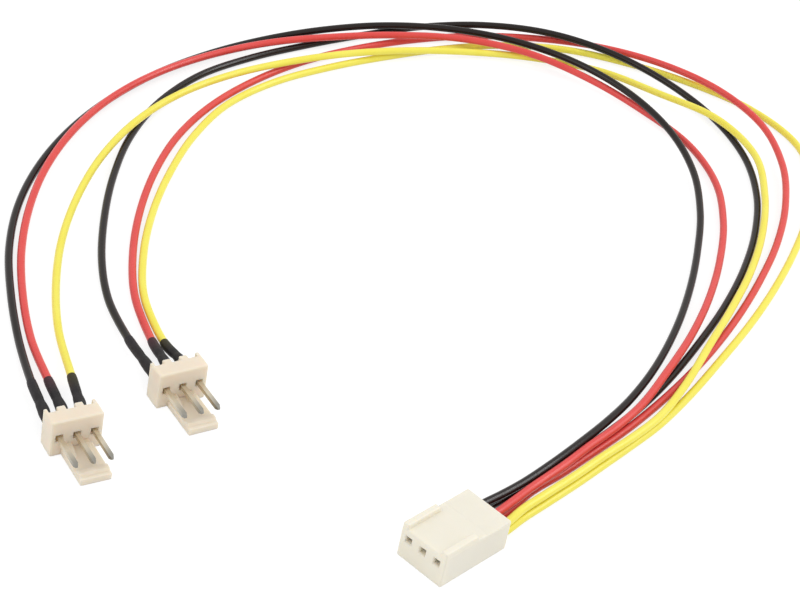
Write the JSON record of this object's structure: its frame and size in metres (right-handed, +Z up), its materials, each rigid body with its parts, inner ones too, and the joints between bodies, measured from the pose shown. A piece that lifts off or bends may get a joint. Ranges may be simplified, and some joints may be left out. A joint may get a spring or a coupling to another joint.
{
  "type": "fan splitter cable",
  "caption": "Cable that splits one fan socket to two fan plugs through loose coloured wires, with black sleeves over the soldered joints.",
  "frame": {"origin": "middle of the socket housing's underside", "axes": "-Y out of the socket's mouth, +X across its width from the black to the yellow wire, +Z up from the table"},
  "size_m": [0.1138, 0.1589, 0.0058],
  "materials": {
    "nylon": "semi-matt moulded off-white nylon",
    "contact_brass": "stamped sheet, bright",
    "tinned_pin": "tinned, satin",
    "solder": "solder, satin",
    "copper": "bare stranded copper",
    "black_pvc": "extruded, satin",
    "red_pvc": "extruded, satin",
    "yellow_pvc": "extruded, satin",
    "sleeve_black": "shrunk tube, matt"
  },
  "bodies": {
    "root": {"socket_housing": "nylon", "contact_black": "contact_brass", "contact_red": "contact_brass", "contact_yellow": "contact_brass", "plug_1_housing": "nylon", "plug_1_wire_black": "black_pvc", "plug_1_sleeve_black": "sleeve_black", "plug_1_pin_black": "tinned_pin", "plug_1_solder_black": "solder", "plug_1_core_black": "copper", "plug_1_crimped_core_black": "copper", "plug_1_wire_red": "red_pvc", "plug_1_sleeve_red": "sleeve_black", "plug_1_pin_red": "tinned_pin", "plug_1_solder_red": "solder", "plug_1_core_red": "copper", "plug_1_crimped_core_red": "copper", "plug_1_wire_yellow": "yellow_pvc", "plug_1_sleeve_yellow": "sleeve_black", "plug_1_pin_yellow": "tinned_pin", "plug_1_solder_yellow": "solder", "plug_1_core_yellow": "copper", "plug_1_crimped_core_yellow": "copper", "plug_2_housing": "nylon", "plug_2_wire_black": "black_pvc", "plug_2_sleeve_black": "sleeve_black", "plug_2_pin_black": "tinned_pin", "plug_2_solder_black": "solder", "plug_2_core_black": "copper", "plug_2_crimped_core_black": "copper", "plug_2_wire_red": "red_pvc", "plug_2_sleeve_red": "sleeve_black", "plug_2_pin_red": "tinned_pin", "plug_2_solder_red": "solder", "plug_2_core_red": "copper", "plug_2_crimped_core_red": "copper", "plug_2_wire_yellow": "yellow_pvc", "plug_2_sleeve_yellow": "sleeve_black", "plug_2_pin_yellow": "tinned_pin", "plug_2_solder_yellow": "solder", "plug_2_core_yellow": "copper", "plug_2_crimped_core_yellow": "copper"}
  },
  "joints": []
}
